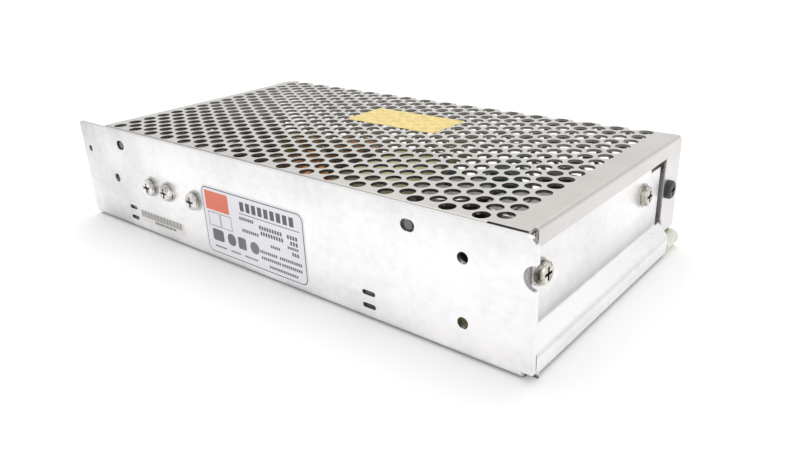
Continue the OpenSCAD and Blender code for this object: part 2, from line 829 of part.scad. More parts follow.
module inductor_core() {
    color([0.75, 0.72, 0.3]) in_case() translate([toroid_x, toroid_y, toroid_z]) difference() {
        towards_near() translate([0, 0, -toroid_w / 2 + wire_t + slip])
            cylinder(r = toroid_d / 2 - wire_t - slip, h = toroid_w - 2 * wire_t - 2 * slip);
        towards_near() translate([0, 0, -toroid_w])
            cylinder(r = toroid_bore_r, h = 2 * toroid_w);
    }
}

module inductor_winding() {
    // Wire round the ring, open over a small gap at its foot
    color([0.75, 0.4, 0.2]) in_case() translate([toroid_x, toroid_y, toroid_z])
        rotate([90, 0, 0]) rotate(-70) rotate_extrude(angle = 320) difference() {
            translate([toroid_bore_r - wire_t, -toroid_w / 2])
                square([toroid_d / 2 - toroid_bore_r + wire_t, toroid_w]);
            translate([toroid_bore_r - slip, -toroid_w / 2 + wire_t])
                square([toroid_d / 2 - wire_t - toroid_bore_r + slip, toroid_w - 2 * wire_t]);
        }
}

module inductor_cradle() {
    color([0.14, 0.14, 0.14]) in_case() difference() {
        block([toroid_x - cradle_w / 2, toroid_y - toroid_w / 2, board_top],
              [toroid_x + cradle_w / 2, toroid_y + toroid_w / 2, board_top + 4]);
        translate([toroid_x, toroid_y + toroid_w, toroid_z]) towards_near()
            cylinder(r = toroid_d / 2 + slip, h = 2 * toroid_w);
    }
}

// ---- Capacitors ----

// Can on the board with a crimped neck near its top and a vent cross in it
module can(d, h) {
    rim = 0.06 * d;
    difference() {
        rotate_extrude() {
            square([d / 2 - rim, h]);
            square([d / 2, h - rim]);
            translate([d / 2 - rim, h - rim]) intersection() {
                circle(rim);
                square(rim);
            }
        }
        for (turn = [0, 90]) rotate(turn)
            translate([-0.3 * d, -0.02 * d, h - 0.4]) cube([0.6 * d, 0.04 * d, over]);
    }
}

main_cap_y = board_y0 + 14.5 + main_cap_d / 2;
main_cap_xs = [trafo_x + core_w / 2 + 3.5 + main_cap_d / 2,
               trafo_x + core_w / 2 + 5 + 1.5 * main_cap_d];

module main_capacitors() {
    color([0.2, 0.17, 0.1]) in_case() for (x = main_cap_xs)
        translate([x, main_cap_y, board_top]) can(main_cap_d, main_cap_h);
}

out_cap_step = out_cap_d + 1;
out_cap_x0 = 28;
out_cap_y0 = board_y0 + 13 + out_cap_d / 2;

module output_capacitors() {
    color([0.1, 0.12, 0.2]) in_case() for (i = [0:2], j = [0:1])
        translate([out_cap_x0 + i * out_cap_step, out_cap_y0 + j * out_cap_step, board_top])
            can(out_cap_d, out_cap_h);
}

small_cap_d = 6.3;
small_cap_at = [[board_mid + 7, 9], [board_mid + 15, 9], [146, 9], [80, 46]];
module small_capacitors() {
    color([0.12, 0.13, 0.16]) in_case() for (p = small_cap_at)
        translate([p.x, board_y0 + p.y - 4, board_top]) can(small_cap_d, 11);
}

// ---- Line filter ----

choke_x = 66;
choke_y = board_y1 - 21;
coil_d = 13;
choke_leg = 6;
choke_span = 20;
choke_z = board_top + coil_d / 2 + 0.8;

module line_choke_core() {
    color([0.17, 0.17, 0.18]) in_case() translate([choke_x, choke_y, choke_z - choke_leg / 2])
        linear_extrude(choke_leg) difference() {
            square(choke_span + choke_leg, center = true);
            square(choke_span - choke_leg, center = true);
        }
}

module line_choke_coils() {
    coil_l = choke_span - choke_leg - 4 * slip;
    hole = choke_leg + 2 * slip;
    flange = 1;
    color([0.72, 0.38, 0.2]) in_case() for (side = [-1, 1])
        translate([choke_x, choke_y + side * choke_span / 2, choke_z]) difference() {
            union() {
                translate([-coil_l / 2, 0, 0]) towards_end() cylinder(d = coil_d, h = coil_l);
                // Bobbin flanges, which stand on the board
                for (end = [-coil_l / 2, coil_l / 2 - flange])
                    block([end, -coil_d / 2, board_top - choke_z],
                          [end + flange, coil_d / 2, coil_d / 2]);
            }
            block([-coil_l, -hole / 2, -hole / 2], [coil_l, hole / 2, hole / 2]);
        }
}

film_cap_at = [[32, 14], [92, 12]];
module film_capacitors() {
    color([0.85, 0.7, 0.2]) in_case() for (p = film_cap_at)
        translate([p.x, board_y1 - p.y - 8, board_top]) cube([18, 8, 14]);
}

// Disc on two legs, standing in the plane y = 0
module disc(d, t, foot) {
    translate([0, t / 2, foot + d / 2]) towards_near() cylinder(d = d, h = t);
    for (side = [-1, 1])
        block([side * d / 4 - 0.4, -0.4, 0], [side * d / 4 + 0.4, 0.4, foot + d / 3]);
}

module disc_capacitors() {
    color([0.2, 0.4, 0.7]) in_case() for (x = [118, 130])
        translate([x, board_y1 - 12, board_top]) disc(8, 3, 2);
}

module inrush_disc() {
    color([0.1, 0.25, 0.15]) in_case() translate([142, board_y1 - 14, board_top]) disc(13, 4, 2.5);
}

// ---- Fuse ----

fuse_x = 26;
fuse_y = board_y1 - 5.5;
fuse_l = 20;
fuse_d = 5;
clip_w = 5;
clip_t = 0.5;
fuse_z = board_top + clip_t + fuse_d / 2 + slip;

module fuse() {
    cap_t = 0.2;
    color([0.85, 0.87, 0.86]) in_case() translate([fuse_x, fuse_y, fuse_z]) towards_end() {
        cylinder(d = fuse_d - 2 * cap_t, h = fuse_l);
        for (z = [0, fuse_l - clip_w]) translate([0, 0, z]) cylinder(d = fuse_d, h = clip_w);
    }
}

module fuse_clips() {
    half = fuse_d / 2 + slip;
    color([0.78, 0.76, 0.68]) in_case() for (x = [fuse_x, fuse_x + fuse_l - clip_w])
        translate([0, fuse_y, 0]) along_x(x + 0.5, x + clip_w - 0.5)
            translate([-half - clip_t, board_top]) difference() {
                square([2 * half + 2 * clip_t, fuse_d + clip_t]);
                translate([clip_t, clip_t]) square([2 * half, fuse_d + clip_t]);
            }
}

// ---- Rectifier, resistors and chips ----

module rectifier() {
    slab = [22, 3.6, 14];
    foot = 2;
    color([0.12, 0.12, 0.12]) in_case() translate([156, board_y1 - 12, board_top]) {
        translate([0, 0, foot]) cube(slab);
        for (i = [0:3]) translate([2 + i * (slab.x - 4.9) / 3, 1.4, 0]) cube([0.9, 0.8, foot + over]);
    }
}

// Resistor lying over the board on its two bent legs, centred, along X
module resistor(l, d) {
    leg = 0.6;
    towards_end() translate([-d / 2 - 0.5, 0, -l / 2]) cylinder(d = d, h = l);
    for (side = [-1, 1]) {
        block([side * (l / 2 + 0.8) - leg / 2, -leg / 2, 0],
              [side * (l / 2 + 0.8) + leg / 2, leg / 2, d / 2 + 0.8]);
        block([side * (l / 2 + 0.2) - 0.9, -leg / 2, d / 2 + 0.2],
              [side * (l / 2 + 0.2) + 0.9, leg / 2, d / 2 + 0.8]);
    }
}

module resistors() {
    color([0.7, 0.62, 0.48]) in_case() {
        for (i = [0:3]) translate([30 + 12 * i, board_y0 + 48, board_top]) resistor(6.5, 2.4);
        for (i = [0:3]) translate([150 + 10 * i, board_y0 + 56, board_top]) resistor(6, 2.4);
        for (i = [0:1]) translate([150, board_y0 + 62 + 6 * i, board_top]) resistor(11, 4);
    }
}

module control_chips() {
    color([0.11, 0.11, 0.12]) in_case() {
        for (p = [[86, 48], [168, 64]]) translate([p.x, board_y0 + p.y, board_top]) chip([9.6, 6.4, 3.4]);
        for (x = [100, 108]) translate([x, board_y0 + 58, board_top]) chip([4.6, 6.4, 3.4]);
    }
}

// Moulded chip on its legs
module chip(body) {
    translate([0, 0, 0.6]) cube(body);
    for (x = [0.6:2.54:body.x - 0.7], y = [-0.4, body.y - 0.4])
        translate([x, y, 0]) cube([0.7, 0.8, 1.8]);
}

// ---- Nylon clip at the open far corner ----

nose_y = beside_foot_y + 0.9;
clip_y0 = nose_y + 1.2;
clip_y1 = far_lip_y - chassis_bend_out - slip;
nose_x = end_wall_x + slip;
nose_r = 2.6;
nose_z = nose_r + 0.2;

module nylon_clip() {
    grip = 1.8;
    color([0.86, 0.88, 0.78]) in_case() {
        // Foot on the floor, upright beside the board, and hook over it
        along_y(clip_y0, clip_y1) {
            translate([board_x1 - grip, floor_z])
                square([nose_x - board_x1 + grip + 0.5, board_z - floor_z]);
            translate([board_x1 + slip, floor_z]) square([2.4, board_top - floor_z + 2.2]);
            translate([board_x1 - 1.5, board_top + slip]) square([2.5, 1.4]);
        }
        // Rounded nose outside the case
        along_y(nose_y, case_w) {
            translate([case_l - nose_r, nose_z]) intersection() {
                circle(nose_r);
                translate([0, -nose_r]) square([nose_r, 2 * nose_r]);
            }
            translate([nose_x, nose_z - nose_r]) square([case_l - nose_r - nose_x, 2 * nose_r]);
        }
    }
}

chassis();
mesh_cover();
leg_screw();
end_screws();
end_washers();
side_screws();
side_washers();
screw_nuts();
insulation_sheet();
circuit_board();
standoffs();
board_screws();
terminal_block();
terminal_plates();
terminal_clamps();
terminal_screws();
trimmer_body();
trimmer_rotor();
led_holder();
led();
side_transistors();
end_transistors();
insulator_pads();
transformer_core();
transformer_winding();
transformer_pin_blocks();
inductor_core();
inductor_winding();
inductor_cradle();
main_capacitors();
output_capacitors();
small_capacitors();
line_choke_core();
line_choke_coils();
film_capacitors();
disc_capacitors();
fuse();
fuse_clips();
rectifier();
inrush_disc();
resistors();
control_chips();
nylon_clip();
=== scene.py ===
"""Looks of the mesh case switching power supply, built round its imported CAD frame."""
import math

import bpy
from mathutils import Matrix, Vector


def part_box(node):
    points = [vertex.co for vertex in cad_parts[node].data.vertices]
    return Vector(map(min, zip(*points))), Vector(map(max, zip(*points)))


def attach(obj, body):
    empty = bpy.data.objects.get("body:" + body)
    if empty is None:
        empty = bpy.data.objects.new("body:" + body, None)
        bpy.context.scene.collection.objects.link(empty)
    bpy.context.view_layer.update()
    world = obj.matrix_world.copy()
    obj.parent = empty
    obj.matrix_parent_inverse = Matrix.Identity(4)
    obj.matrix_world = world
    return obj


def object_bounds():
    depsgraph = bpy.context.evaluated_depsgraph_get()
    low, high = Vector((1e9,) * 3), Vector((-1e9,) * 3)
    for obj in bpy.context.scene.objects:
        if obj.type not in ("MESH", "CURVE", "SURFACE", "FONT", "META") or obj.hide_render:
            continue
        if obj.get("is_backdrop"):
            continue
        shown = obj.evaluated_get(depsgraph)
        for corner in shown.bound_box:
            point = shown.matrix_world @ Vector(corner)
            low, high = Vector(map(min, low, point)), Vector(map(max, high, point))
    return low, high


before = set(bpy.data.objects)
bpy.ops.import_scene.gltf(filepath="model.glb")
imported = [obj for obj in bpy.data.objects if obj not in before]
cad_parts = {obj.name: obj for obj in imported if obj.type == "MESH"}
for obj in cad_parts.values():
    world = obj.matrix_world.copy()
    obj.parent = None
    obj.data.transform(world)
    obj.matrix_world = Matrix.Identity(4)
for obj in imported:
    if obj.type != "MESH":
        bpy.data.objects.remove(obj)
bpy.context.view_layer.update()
MM = 0.001
CAD_NODES = 43


# ---- Sizes of the case that the looks follow, in millimetres from its low near corner ----

LENGTH, WIDTH, HEIGHT = 199.0, 98.0, 38.0
# Chassis: its sheet, the outer radius of its bends and the outer face of its end wall
SHEET = 1.5
BEND = 2.3
END_WALL = 195.5
# Heights of the end wall's two creases
CREASE_LOW, CREASE_HIGH = 7.0, 11.8
# Tapped holes of the side wall, along X and Z, half the room that each takes, their thread
TAPPED = ((21.0, 19.0), (179.0, 10.0), (179.0, 28.0))
TAPPED_ROOM = 2.0
THREAD_PITCH = 0.7
# Cover: its sheet, the reach of its bends, its two ends and the outer face of its near flange
COVER_SHEET = 0.8
COVER_BEND = 1.2
COVER_START = 14.0
RIM = 196.4
FLANGE = 1.7
# Holes of the cover: the first, along X and Y, then the step along X from each row to the next,
# which is staggered, and the step along Y within a row
HOLE_START = (21.0, 5.1)
HOLE_STEP = (5.0, 6.15)

# Distance that is past the case, depth of a skin, and half widths of a mask's edges
BEYOND = 1.0
SKIN = 0.03
SHARP, CRISP, SOFT = 0.01, 0.02, 0.05

# ---- Windings, weave and noise ----

# Turns round the ring core, and the widths of a wire and of the transformer's tape
RING_TURNS = 60.0
WIRE_PITCH = 1.0 * MM
TAPE_WIDTH = 4.5 * MM
# Angle that the circuit board's weave turns through in a metre
WEAVE_RATE = 7000.0
# Stretch in which most values of a noise lie
NOISE_SPAN = (0.35, 0.65)

# ---- Labels, in millimetres: left, low edge, width and height, each on its own face ----

PLATE = (74.0, 2.6, 49.4, 24.5)
STICKER = (33.1, 4.3, 27.4, 4.7)
TOP_LABEL = (88.2, 57.0, 39.5, 19.0)
# Thickness of the ink, and straight lines in each round corner
INK = 0.02
CORNER_STEPS = 5
# Block in the place of a letter, and the step to the next, as shares of its height
LETTER_WIDTH, LETTER_STEP = 0.62, 0.92
# What the plate shows, from its border's left and low edge
TITLE = (19.5, 18.4, 25.5, 3.1)
RULE = (18.6, 17.3, 28.0, 0.25)
WORDS = ((18.6, 15.2, 6.6, 1.1), (28.0, 14.1, 11.2, 1.3), (40.8, 14.1, 5.0, 1.3),
         (28.4, 12.2, 11.2, 1.3), (42.0, 12.2, 4.0, 1.3), (19.4, 11.2, 8.4, 1.1),
         (40.6, 10.7, 5.2, 0.9), (32.6, 8.9, 4.4, 1.0), (42.4, 8.7, 3.8, 1.2),
         (27.2, 5.9, 8.2, 1.0), (36.4, 5.9, 10.0, 1.0), (27.6, 3.8, 8.8, 1.0),
         (37.2, 3.8, 9.0, 1.0), (31.0, 1.5, 13.6, 0.9), (3.6, 2.2, 6.0, 0.6),
         (12.0, 2.2, 5.0, 0.6), (19.0, 2.2, 6.6, 0.6))
FRAMES = ((2.2, 9.8, 6.0, 5.0), (8.5, 9.8, 5.6, 5.0))
PATCH = (1.5, 15.5, 12.0, 6.6)
# Plain blocks in the place of signs, each with the radius of its corners last
SIGNS = ((3.2, 4.6, 5.8, 4.2, 0.8), (11.0, 4.6, 4.2, 4.2, 1.8), (16.4, 4.6, 4.0, 4.2, 0.6),
         (22.4, 4.6, 4.4, 4.2, 2.1))
# Bars of the sticker, from its left and low edge, and the word under them
BARS_AT = (0.9, 1.9)
BAR_COUNT = 38
BAR_STEP, BAR_HEIGHT = 0.67, 2.5
BAR_WIDTHS = (0.42, 0.26, 0.26)
BAR_WORD = (9.0, 0.6, 13.0, 0.9)

# ---- Camera, its place in millimetres from the case's low near corner, and the floor ----

CAMERA_AT = (266.55, -126.57, 101.23)
SENSOR, LENS = 36.0, 31.707
HEADING, PITCH, ROLL = 40.150, -22.651, -2.327
CLIP_START = 0.01
FLOOR_SIZE = 8.0
FLOOR_GAP = 0.0001


# ---- Node helpers ----

class Graph:
    """A material's node tree, with short calls for the nodes that the looks are made of."""

    def __init__(self, name, **sockets):
        self.material = bpy.data.materials.new(name)
        self.material.use_nodes = True
        self.tree = self.material.node_tree
        self.shader = self.tree.nodes["Principled BSDF"]
        for label, value in sockets.items():
            self.shader.inputs[label.replace("_", " ")].default_value = value
        self.place = self.tree.nodes.new("ShaderNodeTexCoord").outputs["Object"]

    def link(self, value, socket):
        if isinstance(value, bpy.types.NodeSocket):
            self.tree.links.new(value, socket)
        else:
            socket.default_value = value

    def node(self, kind, settings=None, **inputs):
        made = self.tree.nodes.new(kind)
        for key, value in (settings or {}).items():
            setattr(made, key, value)
        for key, value in inputs.items():
            self.link(value, made.inputs[key.replace("_", " ")])
        return made

    def maths(self, operation, *values):
        made = self.node("ShaderNodeMath", {"operation": operation})
        for value, socket in zip(values, made.inputs):
            self.link(value, socket)
        return made.outputs[0]

    def times(self, first, *others):
        """Product of all the values."""
        for value in others:
            first = self.maths("MULTIPLY", first, value)
        return first

    def total(self, first, *others):
        """Sum of all the values."""
        for value in others:
            first = self.maths("ADD", first, value)
        return first

    def wave(self, value, pitch):
        """Sine of a value, with one turn in each pitch."""
        return self.maths("SINE", self.times(value, 2 * math.pi / pitch))

    def share(self, value, start, pitch):
        """Place within one pitch, from 0 to 1."""
        from_start = self.maths("SUBTRACT", value, start)
        return self.maths("FRACT", self.maths("DIVIDE", from_start, pitch))

    def axes(self):
        split = self.node("ShaderNodeSeparateXYZ", Vector=self.place)
        return split.outputs[0], split.outputs[1], split.outputs[2]

    def case_axes(self):
        """Millimetres from the case's low near corner along X, Y and Z."""
        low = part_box("chassis")[0]
        return [self.times(self.maths("SUBTRACT", value, start), 1 / MM)
                for value, start in zip(self.axes(), low)]

    def noise(self, scale, detail, stretch=None):
        where = self.place
        if stretch:
            where = self.node("ShaderNodeMapping", Vector=where, Scale=stretch).outputs[0]
        return self.node("ShaderNodeTexNoise", Vector=where, Scale=scale, Detail=detail).outputs[0]

    def ramp(self, value, low, high, to_low, to_high):
        """Value's stretch from low to high, mapped to another stretch and held there."""
        made = self.node("ShaderNodeMapRange", Value=value, From_Min=low, From_Max=high,
                         To_Min=to_low, To_Max=to_high)
        return made.outputs[0]

    def rise(self, value, low, high):
        """0 below low, 1 above high, and between them in between."""
        return self.ramp(value, low, high, 0.0, 1.0)

    def fall(self, value, low, high):
        """1 below low, 0 above high, and between them in between."""
        return self.ramp(value, low, high, 1.0, 0.0)

    def inside(self, value, low, high, soft=CRISP * MM):
        """1 between low and high, else 0."""
        return self.times(self.rise(value, low - soft, low + soft),
                          self.fall(value, high - soft, high + soft))

    def within(self, *spans):
        """1 where every value lies inside its span, else 0."""
        return self.times(*[self.inside(*span) for span in spans])

    def choose(self, mask, off, on):
        """Off where the mask is 0, and on where it is 1."""
        return self.ramp(mask, 0.0, 1.0, off, on)

    def dim(self, mask, factor):
        """Factor where the mask is 1, and 1 where it is 0."""
        return self.choose(mask, 1.0, factor)

    def occlusion_shade(self, reach, darkest):
        """Painted shade: a factor that falls towards darkest in hollows and against other faces."""
        made = self.node("ShaderNodeAmbientOcclusion", {"samples": 8}, Distance=reach)
        return self.ramp(made.outputs["AO"], 0.35, 0.95, darkest, 1.0)

    def mix(self, factor, first, second):
        made = self.node("ShaderNodeMix", {"data_type": "RGBA"})
        self.link(factor, made.inputs[0])
        self.link(first, made.inputs[6])
        self.link(second, made.inputs[7])
        return made.outputs[2]

    def blend(self, value, low, high):
        """Colour between two plain ones, by a value from 0 to 1."""
        return self.mix(value, (*low, 1.0), (*high, 1.0))

    def cloudy(self, noise, low, high):
        """Colour between two plain ones, by a noise."""
        return self.blend(self.rise(noise, *NOISE_SPAN), low, high)

    def tint(self, base, colour, mask):
        """Base, with a plain colour over it where the mask is 1."""
        return self.mix(mask, base, (*colour, 1.0))

    def shaded(self, colour, *factors):
        """Colour times every factor."""
        made = colour
        for factor in factors:
            grey = self.node("ShaderNodeCombineColor", Red=factor, Green=factor, Blue=factor)
            product = self.node("ShaderNodeMix", {"data_type": "RGBA", "blend_type": "MULTIPLY"})
            self.link(1.0, product.inputs[0])
            self.link(made, product.inputs[6])
            self.link(grey.outputs[0], product.inputs[7])
            made = product.outputs[2]
        return made

    def colour(self, value):
        self.link(value, self.shader.inputs["Base Color"])

    def rough(self, value):
        self.link(value, self.shader.inputs["Roughness"])

    def metal(self, value):
        self.link(value, self.shader.inputs["Metallic"])

    def bump(self, height, distance, strength):
        made = self.node("ShaderNodeBump", Height=height, Distance=distance, Strength=strength)
        self.link(made.outputs[0], self.shader.inputs["Normal"])


def scaled(colour, factor):
    return tuple(channel * factor for channel in colour)


def dress(material, *names):
    """Puts a material on the named CAD nodes."""
    for name in names:
        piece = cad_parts[name]
        piece.data.materials.clear()
        piece.data.materials.append(material)


# ---- Sheet metal ----

def aluminium():
    """Mill finish: faint rolling lines along X, clouds and marks, painted shade on cut walls and
    inside.
    """
    g = Graph("mill aluminium", Metallic=1.0)
    x, y, z = g.case_axes()
    lines = g.noise(1.0, 4.0, (35.0, 2600.0, 2600.0))
    cloud = g.noise(38.0, 5.0)
    mottle = g.noise(420.0, 3.0)
    marks = g.rise(g.noise(230.0, 2.0), 0.62, 0.74)
    shade = g.total(g.times(lines, 0.15), g.times(cloud, 0.55), g.times(mottle, 0.3))
    base = g.blend(g.rise(shade, 0.35, 0.6), (0.87, 0.86, 0.87), (0.995, 0.98, 0.98))
    base = g.tint(base, (0.74, 0.73, 0.74), g.times(marks, 0.07))
    # Painted shade on the inside faces of the case
    hollow = g.within((x, -BEYOND, END_WALL - SHEET + 0.2, SOFT),
                      (y, SHEET - 0.1, WIDTH - BEND, SOFT),
                      (z, SHEET - 0.1, HEIGHT + BEYOND, SOFT))
    g.colour(g.shaded(base, wall_tone(g, x, y, z, cloud), end_tone(g, x, y, z),
                      cut_tone(g, x, y, z), g.dim(hollow, 0.8)))
    g.rough(g.ramp(shade, 0.3, 0.7, 0.5, 0.36))
    g.bump(lines, 0.01 * MM, 0.15)
    return g.material


def wall_tone(g, x, y, z, cloud):
    """Side wall: darker to its open end and top, painted reflection low down, painted shade at its
    edges.
    """
    wall = g.fall(y, SHEET, SHEET + 0.1)
    # Darker, in clouds, towards the open end
    open_end_darker = g.times(g.fall(x, 0.0, 80.0), g.ramp(cloud, 0.3, 0.6, 1.0, 0.4))
    # Painted reflection: a mottled grey band low down
    low = g.times(g.fall(z, 0.0, 9.0), g.ramp(cloud, *NOISE_SPAN, 1.0, 0.2))
    # Darker towards the top
    high = g.rise(z, 27.0, 37.0)
    # Painted contact shadow: a dark line along the bottom edge
    foot = g.fall(z, 0.3, 0.9)
    # Painted shade on the top face, where it meets the cover
    edge = g.inside(z, HEIGHT - 0.04, HEIGHT + BEYOND)
    tone = g.times(g.dim(open_end_darker, 0.77), g.dim(low, 0.76), g.dim(high, 0.88), g.dim(foot, 0.18),
                   g.dim(edge, 0.84))
    return g.dim(wall, tone)


def end_tone(g, x, y, z):
    """End wall: painted shade at its creases, a painted highlight on the slope, a mottled grey foot.
    """
    end = g.within((x, END_WALL - SHEET, LENGTH + BEYOND, SOFT), (y, SHEET + 0.2, WIDTH, SOFT))
    speck = g.fall(g.noise(2600.0, 2.0), 0.3, 0.7)
    # Painted shade in a soft band above the upper crease, darkest next to it
    over = g.times(g.fall(z, CREASE_HIGH, CREASE_HIGH + 9.0),
                   g.rise(z, CREASE_HIGH - 0.4, CREASE_HIGH + 0.4))
    shade_near_crease = g.times(over, g.fall(z, CREASE_HIGH, CREASE_HIGH + 3.5))
    # Painted shade in the lower crease
    groove_shade = g.inside(z, CREASE_LOW - 0.9, CREASE_LOW + 0.5, 0.45)
    # Painted highlight on the slope between the creases
    slope = g.inside(z, CREASE_LOW + 0.6, CREASE_HIGH - 0.3, 0.5)
    # Slope speckled and darker towards the far side
    far_slope_grey = g.times(slope, speck, g.rise(y, 25.0, 80.0))
    # Foot: speckled painted reflection of the shaded floor, stronger low down
    foot = g.times(g.ramp(z, 1.0, 6.0, 1.0, 0.25), speck)
    # Painted contact shadow along the bottom edge
    under = g.fall(z, 0.5, 1.2)
    # A little darker higher up
    upper = g.rise(z, 14.0, 22.0)
    tone = g.times(g.dim(over, 0.70), g.dim(shade_near_crease, 0.78), g.dim(groove_shade, 0.84),
                   g.dim(slope, 1.12), g.dim(far_slope_grey, 0.78), g.dim(foot, 0.90),
                   g.dim(under, 0.2), g.dim(upper, 0.93))
    return g.dim(end, tone)


def cut_tone(g, x, y, z):
    """Painted shade on hole and slot walls, painted light and shade on the tapped ones' thread
    turns.
    """
    cut = g.within((x, 0.5, LENGTH - 0.4, SOFT), (y, 0.06, SHEET - 0.06, CRISP),
                   (z, BEND + 0.3, HEIGHT - 0.5, SOFT))
    # Painted highlight and shade in stripes, one pair for each turn of thread
    thread = g.ramp(g.wave(y, THREAD_PITCH), -0.4, 0.6, 0.2, 1.1)
    # Painted shade on the plain cut walls
    tone = 0.42
    for across, along in TAPPED:
        near = g.within((x, across - TAPPED_ROOM, across + TAPPED_ROOM, SHARP),
                        (z, along - TAPPED_ROOM, along + TAPPED_ROOM, SHARP))
        tone = g.choose(near, tone, thread)
    return g.dim(cut, tone)


def galvanised():
    """Zinc coated steel, warm grey, painted shade on its holes' cut walls and inside, painted light
    at its ends.
    """
    g = Graph("galvanised steel", Metallic=1.0)
    x, y, z = g.case_axes()
    cloud = g.noise(60.0, 6.0)
    grain = g.noise(1.0, 3.0, (240.0, 1500.0, 1500.0))
    shade = g.total(g.times(cloud, 0.8), g.times(grain, 0.2))
    base = g.blend(g.rise(shade, 0.32, 0.68), (0.54, 0.522, 0.495), (0.65, 0.632, 0.605))
    # Painted lighter tone on the end face, warmer and darker towards its top
    rim = g.blend(g.rise(z, 30.0, 33.0), (0.79, 0.77, 0.785), (0.72, 0.69, 0.68))
    base = g.mix(g.ramp(x, RIM - 0.5, RIM - 0.1, 0.0, 0.75), base, rim)
    # Painted sheen along the bend at the open end
    fold_sheen = g.ramp(x, COVER_START + 0.2, COVER_START + 1.2, 0.6, 0.0)
    base = g.tint(base, (0.60, 0.59, 0.62), fold_sheen)
    top_cut = g.within((x, COVER_START + COVER_BEND, RIM - COVER_BEND, SOFT),
                       (y, FLANGE + 1.0, WIDTH - COVER_BEND, SOFT),
                       (z, HEIGHT - COVER_SHEET + SKIN, HEIGHT - SKIN, CRISP))
    side_cut = g.within((x, COVER_START + 6.5, RIM - COVER_BEND, SOFT),
                        (y, WIDTH - COVER_SHEET + SKIN, WIDTH - SKIN, CRISP),
                        (z, 3.0, HEIGHT - COVER_BEND, SOFT))
    # Painted shade on the cut walls of the holes, darkest on the near side
    far = g.rise(y, 30.0, 75.0)
    cut = g.choose(top_cut, g.dim(side_cut, 0.6), g.choose(far, 0.45, 0.9))
    # Painted shade along the top lip of each hole
    lip_shade = g.times(top_cut, g.rise(z, HEIGHT - 0.26, HEIGHT - 0.18))
    # Painted shade on the inside
    hollow = g.within((x, COVER_START + COVER_SHEET - 0.1, RIM - COVER_SHEET + 0.1, SOFT),
                      (y, FLANGE + COVER_SHEET, WIDTH - COVER_SHEET + 0.05, CRISP),
                      (z, 0.0, HEIGHT - COVER_SHEET + 0.05, CRISP))
    # Painted shade where the near bend meets the side wall's top
    groove_shade = g.times(g.fall(y, FLANGE, FLANGE + 1.05), g.rise(z, HEIGHT - 2.0, HEIGHT - 1.5))
    # Painted shade on the bosses seen in the side wall's snap openings
    boss = g.fall(y, SHEET - 0.05, SHEET + 0.05)
    g.colour(g.shaded(base, cut, g.dim(lip_shade, 0.25), g.dim(hollow, 0.8), g.dim(groove_shade, 0.35),
                      g.dim(boss, 0.3)))
    g.rough(g.total(g.ramp(shade, 0.32, 0.68, 0.42, 0.31), g.times(top_cut, far, 0.45)))
    g.bump(grain, 0.01 * MM, 0.08)
    return g.material


def plated(name, low, high, roughness):
    """Plated small metal with a mottled sheen, painted reflections and painted shade in recesses."""
    g = Graph(name, Metallic=1.0)
    cloud = g.noise(420.0, 4.0)
    # The dark to pale mottle paints reflections; occlusion adds painted shade in recesses
    g.colour(g.shaded(g.cloudy(cloud, low, high), g.occlusion_shade(1.0 * MM, 0.5)))
    g.rough(g.ramp(cloud, *NOISE_SPAN, roughness + 0.12, roughness - 0.06))
    g.bump(g.noise(1500.0, 2.0), 0.01 * MM, 0.3)
    return g.material


# ---- Plastics, resins and ceramics ----

def moulded(name, colour, roughness, spread, grain=900.0, **sockets):
    """Moulded or dipped surface: a fine grain, and a slow change of tone."""
    g = Graph(name, **sockets)
    cloud = g.noise(grain / 12.0, 4.0)
    g.colour(g.cloudy(cloud, scaled(colour, 1.0 - spread), scaled(colour, 1.0 + spread)))
    g.rough(g.ramp(cloud, *NOISE_SPAN, roughness + 0.08, roughness - 0.08))
    g.bump(g.noise(grain, 3.0), 0.02 * MM, 0.4)
    return g.material


def laminate():
    """Circuit board: woven glass under lacquer, with a net of darker tracks."""
    g = Graph("board laminate", Roughness=0.35)
    x, y, _ = g.axes()
    weave = g.total(g.maths("SINE", g.times(x, WEAVE_RATE)),
                    g.maths("SINE", g.times(y, WEAVE_RATE)))
    base = g.cloudy(g.noise(55.0, 5.0), (0.42, 0.39, 0.20), (0.56, 0.52, 0.30))
    base = g.tint(base, (0.55, 0.52, 0.30), g.ramp(weave, 0.6, 1.6, 0.0, 0.25))
    cells = g.node("ShaderNodeTexVoronoi", {"feature": "DISTANCE_TO_EDGE"}, Vector=g.place,
                   Scale=150.0)
    tracks = g.ramp(cells.outputs["Distance"], 0.02, 0.05, 0.35, 0.0)
    g.colour(g.tint(base, (0.16, 0.17, 0.06), tracks))
    g.bump(weave, 0.01 * MM, 0.3)
    return g.material


def sleeved(name, colour, low, high, pitch):
    """Capacitors in a row: a shrink sleeve with a pale stripe, and a bare aluminium lid."""
    g = Graph(name, Roughness=0.28)
    x, _, z = g.axes()
    lid = g.rise(z, high.z - 0.25 * MM, high.z - 0.15 * MM)
    stripe = g.inside(g.share(x, low.x, pitch), 0.42, 0.58, 0.01)
    cloud = g.noise(120.0, 3.0)
    base = g.cloudy(cloud, scaled(colour, 0.8), scaled(colour, 1.2))
    base = g.tint(base, (0.45, 0.45, 0.42), g.times(stripe, 0.5))
    g.colour(g.tint(base, (0.62, 0.62, 0.62), lid))
    g.metal(lid)
    g.bump(cloud, 0.05 * MM, 0.2)
    return g.material


